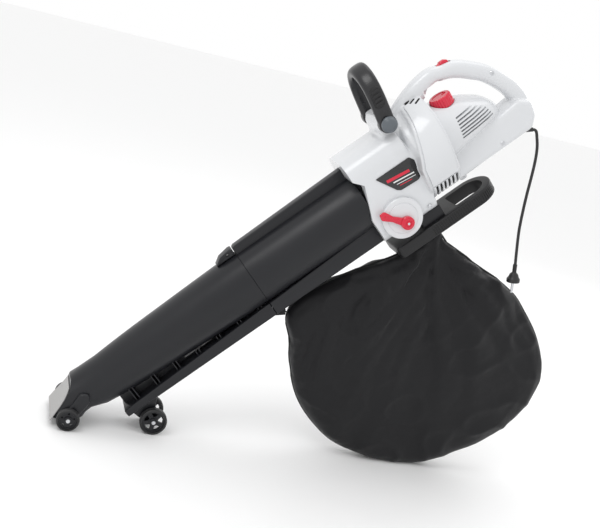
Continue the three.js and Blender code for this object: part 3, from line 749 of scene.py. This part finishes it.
for end, side in SIDES:
    belt = casing_ring(f"casing_belt_{end}_ring", FAN_R + FIT, BELT_R, 160)
    within(belt, 0, on_side(side, 24, 120), (-12, 140))
    bevelled(belt, 1.1, 3, 40)
    piece(belt, "machine", "white", [f"casing_belt_{end}"])

    # Painted shade: a near-black sheet under the slats stands in for the shade inside the outlet.
    painted_shade_sheet = casing_ring(f"outlet_painted_shade_{end}", FAN_R + FIT, FAN_R + 0.6)
    within(painted_shade_sheet, -2, on_side(side, 34, 120), (-50, -16))
    piece(painted_shade_sheet, "machine", "hollow")

    slats = casing_ring(f"outlet_slats_{end}", FAN_R + 0.65, BELT_R - 1)
    within(slats, -1, on_side(side, 33, 120), (-80, -14))
    slots = []
    for k in range(SLOT_COUNT):
        start = SLOT_START + SLOT_PITCH * k
        slots.append(block("slot", (start, start + SLOT_WIDE), (-120, 120), (-50, -15)))
    cut(slats, merged("slots", slots))
    bevelled(slats, 0.5, 2, 40)
    piece(slats, "machine", "white", [f"outlet_grille_{end}"])

# ---- suction tube, nozzle and blow duct ----
TUBE_PROFILE = [
    (112, 45.8), (151, 48.4), (198, 50.8), (268, 53.3), (315, 54.9), (362, 56.4), (400, 57.5), (444, 58),
]


def lower_tube(inset):
    """The nozzle and the tube behind it, as a solid; an inset gives the hollow inside."""
    drop = 8 if inset else 0
    rings = [
        section((40 - drop, -7 - drop), (-13 - drop, 33 - drop), 55 - inset, 3.2),
        section((47, -7 + inset), (6, 52 - inset), 53 - inset, 2.8),
        section((58, -10 + inset), (36, 64 - inset), 48.5 - inset, 2.35),
        section((84, -24 + inset), (74, 64 - inset), 45 - inset, 2.05),
    ]
    for s, radius in spline(TUBE_PROFILE, 20):
        far = TUBE_JOINT + (1 if inset else -0.15)
        s, radius = min(s, far) if s < 443 else far, radius - inset
        rings.append(section((s, TUBE_N - radius), (s, TUBE_N + radius), radius))
    body = rings_object("tube", rings)
    ramp = [
        (-60, 8 - inset), (-40, 21 - inset), (0, 33 - inset), (30, 42.5 - inset), (46, 50 - inset),
        (57, 60 - inset), (60 + inset, 72), (60 + inset, 150), (-60, 150),
    ]
    # The slanted top of the nozzle.
    return cut(body, side_plate("ramp", ramp, -90, 90))


def duct_top(s):
    """How high the blow duct's roof is at s."""
    return float(np.interp(s, (101, 700), (-47, -24)))


def duct_bar(start, end, inset):
    """The blow duct from start to end, as a solid; an inset gives the hollow inside."""
    low = DUCT_BOTTOM + inset
    flat = [(start, low), (end, low), (end, duct_top(end) - inset), (start, duct_top(start) - inset)]
    return side_plate("duct", flat, inset - DUCT_HALF, DUCT_HALF - inset, 0 if inset else 2.5)


def duct_webs(start, end):
    """Pairs of ribs between the duct and the tube, on a spine along the middle."""
    half = DUCT_HALF - 6
    ribs = []
    s = start + 30
    while s < end - 12:
        for step in (0, 7):
            ribs.append(block("rib", (s + step, s + step + 2.2), (-half, half), (-54, -14)))
        s += 48
    spine = block("spine", (start + 6, end), (-9, 9), (-55, -12))
    return [spine, bevelled(merged("ribs", ribs), 0.6, 2)]


def wheel_boss(side):
    """The swelling on one side of the nozzle that holds a front axle."""
    shape = [(4, 4), (24, 2), (64, 12), (74, 26), (62, 38), (22, 26), (6, 24)]
    return side_plate("boss", shape, *on_side(side, 38, 56), 5.5, 5)


def tube_core(start, end):
    """A cylinder that cuts away what would reach into the tube."""
    return rod("core", start, end, TUBE_R - 0.5, (0, TUBE_N))


tube = boolean(lower_tube(0), [wheel_boss(-1), wheel_boss(1)], "UNION")
cut(tube, lower_tube(WALL))
front_axle = (FRONT_WHEEL_R * math.sin(TILT), FRONT_WHEEL_R * math.cos(TILT))
for _, side in SIDES:
    cut(tube, rod("axle_bore", *on_side(side, 30, 75), AXLE_BORE_R, front_axle, "y", 32))
spigot_line = [(434, 52.7), (434, 56.5), (443.8, 56.5), (443.9, 55.2), (462, 55.2), (462, 52.7)]
spigot = turned_loop("spigot", spigot_line, (0, TUBE_N))
lower = merged("suction_tube_lower", [tube, spigot])
piece(lower, "machine", "black", ["tube_lower", "nozzle"])
# How far along, how high and how wide to each side the pale wear plate on the ramp is, row by row.
LIP_ROWS = (
    (-12.5, 29.6, 54.5), (0, 33.4, 52.5), (16, 38.2, 48.5), (30, 42.9, 43), (40, 47.6, 37), (47, 51.4, 31),
)


lip_rings = []
for s, n, half in LIP_ROWS:
    lip_rings.append([(s, -half, n), (s, half, n), (s - 0.5, half, n + 1.3), (s - 0.5, -half, n + 1.3)])
piece(rings_object("nozzle_lip_plate", lip_rings), "machine", "lip")

lower_duct = cut(duct_bar(101, 443.8, 0), duct_bar(90, 446, WALL))
web_parts = [cut(web, tube_core(250, 460)) for web in duct_webs(101, 443.8)]
lower_duct = merged("blow_duct", [lower_duct, *web_parts])
piece(lower_duct, "machine", "black", ["blow_duct_lower"])

upper_line = [
    (444.15, TUBE_R - 0.8), (445.2, TUBE_R), (TUBE_END, TUBE_R), (TUBE_END, TUBE_R - WALL),
    (444.15, TUBE_R - WALL),
]
upper = turned_loop("upper", upper_line, (0, TUBE_N))
upper_duct = cut(duct_bar(444.15, TUBE_END, 0), duct_bar(440, 705, WALL))
upper_webs = [cut(web, tube_core(430, 705)) for web in duct_webs(438, 697)]
rail_line = [(444.2, 60), (444.2, 89), (449, 92), (TUBE_END, 98), (TUBE_END, 60)]
rail = cut(side_plate("rail", rail_line, -RAIL_HALF, RAIL_HALF, 2.2), tube_core(430, 705))
upper = merged("suction_tube_upper", [upper, upper_duct, rail, *upper_webs])
piece(upper, "machine", "black", ["tube_upper"])
restyled("tube_clip", "black", 0.5)
restyled("rear_axle_bracket", "black", 0.8)

# ---- wheels ----
WHEELS = (
    ("front_wheel_near", 0, -63.5, FRONT_WHEEL_R), ("front_wheel_far", 0, 63.5, FRONT_WHEEL_R),
    ("rear_wheel_near", 163.1, -30, REAR_WHEEL_R), ("rear_wheel_far", 163.1, 30, REAR_WHEEL_R),
)
SHOULDER_R = 3


def tread_line(half, radius):
    """The tyre's closed profile of (across, radius), with rounded shoulders and two grooves."""
    inner = radius * 0.8 + 0.3
    across, out = half - SHOULDER_R, radius - SHOULDER_R
    line = [(-half, inner), (-half, out - 0.2), *arc((-across, out), SHOULDER_R, math.pi, math.pi / 2, 6)]
    for centre in (-0.25 * half, 0.25 * half):
        for step, depth in ((-0.8, 0), (-0.4, 0.6), (0.4, 0.6), (0.8, 0)):
            line.append((centre + step, radius - depth))
    return [*line, *arc((across, out), SHOULDER_R, math.pi / 2, 0, 6), (half, out - 0.2), (half, inner)]


for name, x, y, radius in WHEELS:
    low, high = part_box(name + "_tyre")
    half = (high.y - low.y) / 2 / MM
    line = [(y + across, r) for across, r in tread_line(half, radius)]
    tyre = turned_loop(name + "_rubber", line, (x, radius), "y", 72)
    piece(tyre, name, "tyre", [name + "_tyre"], STAND)
    restyled(name + "_rim", "black", 0.35, body=name)
    out = -1 if y < 0 else 1
    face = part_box(name + "_rim")
    edge = (face[0].y if out < 0 else face[1].y) / MM
    cap_line = [(edge + out * a, r) for a, r in ((0, 3.4), (0.7, 3.2), (1.3, 2.2), (1.6, 0.3))]
    cap = turned(name + "_hub_cap", cap_line, (x, radius), "y", 32)
    piece(cap, name, "steel", place=STAND)

# ---- front handle ----
def leaned(made):
    """Leans the handle along s as it rises above its pivot."""
    for vertex in made.data.vertices:
        vertex.co.x += HANDLE_LEAN * (vertex.co.z - PIVOT[1])
    return made


def handle_arch():
    """The two arms and the bow between them."""
    half = (ARM_IN + ARM_OUT) / 2
    bow = [
        (half, 134, 8.3), (half, 160, 8.3), (half, 184, 8.4), (45, 207, 8.8), (32, 224, 9.4), (14, 233.5, 10),
    ]
    path = [*[(-y, n, thick) for y, n, thick in bow], (0, 235.5, 10.2), *bow[::-1]]
    bar = swept("arch", spline(path, 70), 16.5, 2.9)
    for vertex in bar.data.vertices:
        y, s, n = vertex.co
        vertex.co = (PIVOT[0] + s, y, n)
    return leaned(bar)


def hub(side):
    """The round foot of one arm."""
    line = [(ARM_IN, 16), (ARM_IN + 1.2, 17.5), (ARM_OUT - 1.2, 17.5), (ARM_OUT, 16)]
    return turned("hub", [(side * y, r) for y, r in line], PIVOT, "y", 64)


def pad_line(half_wide, n, radius):
    """The outline of a pad on an arm, before the arm is leaned."""
    return rounded(rectangle((PIVOT[0] - half_wide, PIVOT[0] + half_wide), n), radius)


def pad_seat(side):
    """What is cut from an arm to let its pad in."""
    seat = side_plate("pad_seat", pad_line(11, (168, 208), 10.5), *on_side(side, ARM_OUT - 2.5, ARM_OUT + 3))
    return leaned(seat)


handle = fused("front_handle_grip", [handle_arch(), hub(-1), hub(1)], 1.1, 10)
cut(handle, pad_seat(-1), pad_seat(1), rod("bore", -70, 70, PIN_BORE_R, PIVOT, "y", 32))
for _, side in SIDES:
    cut(handle, rod("cap_seat", side * (ARM_OUT - 4), side * (ARM_OUT + 6), 13, PIVOT, "y", 64))
piece(handle, "front_handle", "handle", ["front_handle"], angle=50)

for end, side in SIDES:
    pad_reach = on_side(side, ARM_OUT - 2.2, ARM_OUT + 0.4)
    parts = [side_plate("pad", pad_line(10.6, (168.4, 207.6), 10), *pad_reach, 0.3, 2)]
    for n in (176, 184, 192, 200):
        rib_reach = on_side(side, ARM_OUT + 0.1, ARM_OUT + 2)
        parts.append(block("rib", (PIVOT[0] - 8, PIVOT[0] + 8), rib_reach, (n - 2.6, n + 2.6), 0.8))
    made = leaned(merged(f"grip_pad_{end}_ribbed", parts))
    piece(made, "front_handle", "rubber", [f"grip_pad_{end}"])

    dome = [(-1.8, 12.6), (4, 12.6), (4.05, 15.5), (7.4, 15.2), (8.6, 14)]
    for k in range(1, 9):
        turn = math.pi / 2 * k / 8
        dome.append((8.8 + 6 * math.sin(turn), 0.3 + 12.4 * math.cos(turn)))
    button_line = [(side * (ARM_OUT + out), r) for out, r in dome]
    button = turned(f"lock_button_{end}_cap", button_line, PIVOT, "y", 64)
    piece(button, f"lock_button_{end}", "grey", [f"lock_button_{end}"])

# ---- selector ----
disc_line = [
    (-62.3, 39), (-62.3, 40), (-69.8, 40), (-71, 38.6), (-71, 30.5), (-70.2, 29.8), (-70.2, 29), (-71, 28.3),
    (-71, 0.5),
]
selector_disc = turned("selector_plate", disc_line, DISC, "y")
cut(selector_disc, rod("bore", -80, -50, AXLE_BORE_R, LEVER, "y", 32))
piece(selector_disc, "machine", "white", ["selector_disc"])
lever_corners = [(750, -49), (750, -37), (727, -16), (717, 2), (706, 2), (704, -10), (720, -24), (738, -50)]
lever = side_plate("lever", rounded(lever_corners, 5), -77, -71.3, 1.4, 4)
boss_line = [
    (-71.3, 12.4), (-71.9, 13), (-79, 13), (-80, 12), (-80.4, 9.8), (-81.6, 9.4), (-82, 8.8), (-82, 6.6),
    (-81, 6), (-81, 4.2), (-82.6, 3.8), (-83, 2.6), (-83, 0.3),
]
boss = turned("boss", boss_line, LEVER, "y", 64)
pointer_line = rounded([(729, -31), (732, -28), (714, -5), (711, -8)], 1.6)
pointer = side_plate("pointer", pointer_line, -78.2, -76.5, 0.5)
lever = boolean(lever, [boss, pointer], "UNION")
cut(lever, rod("bore", -79, -60, 4.05, LEVER, "y", 32))
lever.name = "selector_handle"
piece(lever, "selector", "red", ["selector_lever"])
screw_line = [(-82.5, 2.4), (-83.4, 2.4), (-83.7, 1.8), (-83.7, 0.3)]
lever_screw = turned("selector_screw", screw_line, LEVER, "y", 24)
piece(lever_screw, "selector", "steel")

# ---- speed dial, switch and their surrounds ----
DIAL_R, DIAL_RIDGES, RIDGE_DEPTH, RIDGE_POINTS = 21.5, 26, 0.5, 8


def ridged_dial():
    """The speed wheel: ridges all round, and a softened upper edge."""
    rings = []
    for n, shrink in ((88.5, 0), (106.5, 0), (108.6, 0.6), (110, 2.2)):
        ring = []
        for turn in turns(DIAL_RIDGES * RIDGE_POINTS):
            radius = DIAL_R + RIDGE_DEPTH * math.cos(DIAL_RIDGES * turn) - shrink
            ring.append((DIAL[0] + radius * math.cos(turn), DIAL[1] + radius * math.sin(turn), n))
        rings.append(ring)
    return rings_object("speed_wheel", rings)


dial = cut(ridged_dial(), turned("dish", [(108.8, 14), (112, 15)], DIAL, "n", 64))
mark_span = (DIAL[0] + 6, DIAL[0] + 19), (DIAL[1] - 1, DIAL[1] + 1)
dial = merged("speed_wheel_ribbed", [dial, block("mark", *mark_span, (108.2, 109.9), 0.4, 2)])
piece(dial, "speed_dial", "red", ["speed_dial"])
switch_line = [(957, 146), (957, 155.5), (966, 159.5), (974, 159.8), (980, 156.5), (980, 146)]
switch = side_plate("switch", switch_line, -5.8, 5.8, 1.1, 3)
ticks = [block("tick", (963.5 + 3 * k, 964.7 + 3 * k), (-4, 4), (158, 160.2), 0.3, 2) for k in range(4)]
piece(merged("power_slider", [switch, *ticks]), "power_switch", "red", ["power_switch"])

# ---- rating plate with plain bars ----
restyled("rating_plate", "plate", 0.3)
PLATE_FACE = -BODY_HALF - 1.5
BAR_SLOPE = -0.12


def plate_bar(name, paint, s, n, high):
    """A plain bar that slopes across the rating plate and stands a little proud of it."""
    drop = BAR_SLOPE * (s[1] - s[0])
    flat = [(s[0], n), (s[1], n + drop), (s[1], n + high + drop), (s[0], n + high)]
    made = side_plate(name, rounded(flat, 0.6, 4), PLATE_FACE - 0.15, PLATE_FACE + 0.3)
    return piece(made, "machine", paint)


plate_bar("plate_bar_red", "red", (752, 800), 41, 6)
plate_bar("plate_bar_white", "label_white", (762, 806), 34, 2.4)
plate_bar("plate_bar_thin", "label_white", (766, 806), 28, 1.2)
plate_bar("plate_bar_low", "red", (770, 796), 23, 1.4)

# ---- painted shade in the vents on the belt's crown ----
# Thin near-black insets on the belt are painted shade standing in for the dark inside of the vent slots.
shades = []
for k in range(4):
    start = Vector((857 + 7 * k, -12 - 8.5 * k))
    end = start + Vector((13, 6))
    across = (end - start).orthogonal().normalized() * 1.9
    corners = [start - across, end - across, end + across, start + across]
    rings = []
    for lift in (-1.6, 0.45):
        ring = []
        for s, y in rounded([tuple(c) for c in corners], 1.6, 4):
            ring.append((s, y, FAN_N + math.sqrt((BELT_R + lift) ** 2 - y * y)))
        rings.append(ring)
    shades.append(rings_object("shade", rings))
piece(merged("crown_vent_painted_shade", shades), "machine", "hollow")

# ---- screws ----
SCREWS = (
    (712, -52, -62), (800, -48, -62), (726, 88, -58), (1040, 88, -17.5), (1062, -30, -25), (990, -38, -32),
)
heads = []
for s, n, y in SCREWS:
    head = [(y + 1, 4.6), (y - 0.5, 4.6), (y - 1.3, 3.6), (y - 1.3, 2), (y - 0.3, 1.8), (y - 0.3, 0.3)]
    heads.append(turned("screw", head, (s, n), "y", 24))
piece(merged("housing_screws", heads), "machine", "steel")

# ---- bag frame, collar, strap and eyelet ----
FRAME_TOP, FRAME_BOTTOM, FRAME_HALF = -90, -115, 46
FRAME_FRONT, FRAME_REAR = 705, 894
GROOVE_START, FAR_GROOVE_START, GROOVE_PITCH, GROOVE_COUNT = 786, 856, 5.2, 46


def frame_loop(half, front, corner):
    """The frame's outline: a half circle at the rear and two small corners in front."""
    quarter = math.pi / 2
    return [
        *arc((FRAME_REAR, 0), half, -quarter, quarter, 28),
        *arc((front + corner, half - corner), corner, quarter, math.pi, 8),
        *arc((front + corner, corner - half), corner, math.pi, 3 * quarter, 8),
    ]


def groove(s, y, lean):
    """One upright groove in the rim of the frame, as the block that cuts it."""
    made = block("groove", (-1, 1), (-1.3, 1.3), (FRAME_BOTTOM + 4, FRAME_TOP - 4))
    made.data.transform(Matrix.Translation((s, y, 0)) @ Matrix.Rotation(lean, 4, "Z"))
    return made


through = (FRAME_BOTTOM - 5, FRAME_TOP + 5)
frame_line = frame_loop(FRAME_HALF, FRAME_FRONT, 10)
bag_frame = flat_plate("bag_frame_bar", frame_line, FRAME_BOTTOM, FRAME_TOP, 3, 4)
cut(
    bag_frame,
    flat_plate("grip_gap", frame_loop(30, 850, 6), *through),
    block("collar_gap", (773.7, 822.3), (-35.3, 35.3), through),
    block("recess", (714, 764), (-35, 35), (FRAME_BOTTOM - 5, FRAME_TOP - 4)),
)
grooves = []
for k in range(GROOVE_COUNT):
    along = GROOVE_START + GROOVE_PITCH * k
    if along >= FRAME_REAR:
        turn = -math.pi / 2 + (along - FRAME_REAR) / FRAME_HALF
        s, y = FRAME_REAR + FRAME_HALF * math.cos(turn), FRAME_HALF * math.sin(turn)
        grooves.append(groove(s, y, turn + math.pi / 2))
        continue
    grooves.append(groove(along, -FRAME_HALF, 0))
    if along > FAR_GROOVE_START:
        grooves.append(groove(along, FRAME_HALF, 0))
cut(bag_frame, merged("grooves", grooves))
piece(bag_frame, "machine", "frame", ["bag_frame"])
restyled("bag_collar", "black", 0.8)
restyled("strap_eyelet", "white", 0.6)
restyled("cord_gland", "cord", 0.4)

# ---- inner works and plain metal parts, left as the CAD made them ----
INNER_WORKS = {
    "steel": (
        "front_axle_near", "front_axle_far", "rear_axle", "selector_shaft", "handle_pin_near",
        "handle_pin_far", "motor_stator", "motor_shaft", "bearing_front", "bearing_rear",
        "plug_pin_near", "plug_pin_far",
    ),
    "copper": ("armature_core", "commutator"),
    "black": ("motor_plate", "micro_switch", "diverter_flap"),
    "grey": ("dial_potentiometer", "impeller", "cooling_fan"),
    "plate": ("brush_holder_near", "brush_holder_far"),
}
for paint, nodes in INNER_WORKS.items():
    for node in nodes:
        kept = frame["nodes"][node]
        kept.data.materials.clear()
        kept.data.materials.append(PAINT[paint])

# ---- collection bag ----
BAG_OUTLINE = [
    (376, 272), (394, 233), (419, 172), (450, 112), (486, 73), (548, 30), (623, 6), (700, 0),
    (760, 10), (832, 48), (891, 89), (944, 151), (967, 214), (962, 271), (933, 324), (876, 386),
    (838, 415), (749, 451), (660, 492), (634, 503), (570, 435), (464, 371), (388, 303),
]
BAG_HEART = Vector((690, 70))
BAG_MOUTH = Vector((650, 470))
BAG_HALF = 58
BAG_CAP = 9
BAG_FRAMES = 24


def bag_solid():
    """The slack bag before it is filled: a flat pillow that is thin at its rim."""
    half_layers = [(0.1, 1), (0.4, 0.985), (0.72, 0.92), (0.92, 0.8), (1, 0.66)]
    layers = [(-across, spread) for across, spread in half_layers[::-1]] + half_layers
    rim = [Vector(p) for p in spline(BAG_OUTLINE, 120, closed=True)]
    rings = []
    for across, spread in layers:
        ring = []
        for p in rim:
            spot = BAG_HEART + (p - BAG_HEART) * spread
            full = 0.42 + 0.5 * math.exp(-((spot.y - 190) / 210) ** 2)
            ring.append((spot.x, across * (BAG_HALF - 4) * min(1, full), spot.y))
        rings.append(ring)
    made = rings_object("bag", rings)
    applied(made, "REMESH", mode="VOXEL", voxel_size=5.6, adaptivity=0)
    return applied(made, "SMOOTH", factor=0.5, iterations=3)


def ridged(x, y, z):
    """Noise with sharp crests, between 0 and 1."""
    return 1 - abs(noise.noise(Vector((x, y, z)))) * 2


def fold_height(x, y, z):
    """Soft folds that fan out from the mouth, broad dents and sharp creases, in mm."""
    dx, dz = x - BAG_MOUTH.x, z - BAG_MOUTH.y
    away = math.hypot(dx, dz)
    turn = math.atan2(dx, -dz)
    side = 3.1 if y < 0 else 7.7
    drift = noise.noise(Vector((x / 150, side, z / 150))) * 1.6
    fan = abs(math.sin(turn * 6.5 + drift * 2.2 + side))
    fan += 0.5 * abs(math.sin(turn * 13 - drift * 3 + 2 * side))
    reach = math.exp(-((away - 150) / 150) ** 2)
    dents = noise.noise(Vector((x / 105, side, z / 105)))
    creases = ridged(x / 95 + z / 300, side, z / 70 - x / 240)
    crumple = ridged(x / 34, side, z / 40) * math.exp(-((away - 110) / 90) ** 2)
    return 8.5 * fan * reach + 8 * dents + 6 * creases ** 3 + 4.5 * crumple - 7


def pushed(made, height):
    """Moves every point along its normal, which is read before any point moves."""
    normals = [v.normal.copy() for v in made.data.vertices]
    for vertex, normal in zip(made.data.vertices, normals):
        vertex.co += normal * height(vertex.co, normal)
    return made


def fine_crumple(spot, _):
    """Small wrinkles all over the cloth, in metres."""
    spot = spot / MM
    return (noise.noise(spot / 13) * 0.35 + noise.noise(spot / 7) * 0.12) * MM


def pin_group(made):
    """Points near the frame and along the strap corner stay put."""
    group = made.vertex_groups.new(name="pinned")
    for vertex in made.data.vertices:
        x, _, z = vertex.co
        s, n = (x * COS + z * SIN), (z * COS - x * SIN)
        near_frame = max(0.0, min(1.0, (n + 150) / 25))
        corner = max(0.0, 1 - (Vector((x, z)) - Vector((376, 275))).length / 40)
        group.add([vertex.index], max(near_frame, corner) if s > 0 else 0.0, "REPLACE")
    return group.name


def fill_bag(made, group):
    """Blows the bag up a little, so that its slack cloth creases; no point goes further than BAG_CAP."""
    made.data.transform(STAND)
    start = np.array([v.co for v in made.data.vertices])
    cloth = made.modifiers.new("cloth", "CLOTH")
    settings = cloth.settings
    settings.quality = 6
    settings.mass = 0.25
    settings.tension_stiffness = settings.compression_stiffness = 22
    settings.shear_stiffness = 9
    settings.bending_stiffness = 0.12
    settings.shrink_min = -0.045
    settings.use_pressure = True
    settings.uniform_pressure_force = 1.6
    settings.vertex_group_mass = group
    settings.pin_stiffness = 1
    settings.effector_weights.gravity = 0.25
    cloth.collision_settings.use_collision = False
    cloth.point_cache.frame_start, cloth.point_cache.frame_end = 1, BAG_FRAMES
    for step in range(1, BAG_FRAMES + 1):
        bpy.context.scene.frame_set(step)
    graph = bpy.context.evaluated_depsgraph_get()
    mesh = bpy.data.meshes.new_from_object(made.evaluated_get(graph))
    made.modifiers.clear()
    made.data = mesh
    bpy.context.scene.frame_set(1)
    for vertex, before in zip(mesh.vertices, start):
        move = vertex.co - Vector(before)
        if move.length > BAG_CAP * MM:
            vertex.co = Vector(before) + move.normalized() * (BAG_CAP * MM)
        vertex.co.z = max(vertex.co.z, 0.0005)
    made.vertex_groups.clear()


bag = pushed(bag_solid(), lambda spot, normal: fold_height(*spot) * abs(normal.y))
fill_bag(bag, pin_group(bag))
applied(bag, "SMOOTH", factor=0.5, iterations=2)
applied(bag, "SUBSURF", levels=1, render_levels=1)
pushed(bag, fine_crumple)
for vertex in bag.data.vertices:
    vertex.co.z = max(vertex.co.z, 0.0004)
bag.name = "collection_bag_cloth"
piece(bag, "machine", "fabric", ["collection_bag"], place=None, angle=180)

# ---- rim piping and straps ----
RIM_R = 0.0019
RIM_POINTS = 150
RIM_BAND = 0.009


def bag_rim():
    """The outermost points of the bag near its middle plane."""
    centre = STAND @ Vector((BAG_HEART.x, 0, BAG_HEART.y))
    best = [None] * RIM_POINTS
    for vertex in bag.data.vertices:
        if abs(vertex.co.y) > RIM_BAND:
            continue
        away = vertex.co - centre
        k = int((math.atan2(away.z, away.x) / (2 * math.pi) % 1) * RIM_POINTS)
        length = math.hypot(away.x, away.z)
        if best[k] is None or length > best[k][0]:
            best[k] = (length, Vector((vertex.co.x, 0, max(vertex.co.z, RIM_R))))
    return [b[1] for b in best if b]


piping = round_line(
    "bag_piping", bag_rim(), RIM_R, 4, "webbing", "NURBS", use_cyclic_u=True, order_u=4,
)
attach(piping, "machine")

restyled("bag_strap", "webbing", 0.5)
corner_path = spline([(371, 0, 283), (380, 0, 276), (394, 0, 268), (414, 0, 262)], 16)
corner_strap = ribbon("bag_corner_strap", corner_path, Vector((0, 8, 0)), 1.8)
piece(corner_strap, "machine", "webbing", place=STAND)
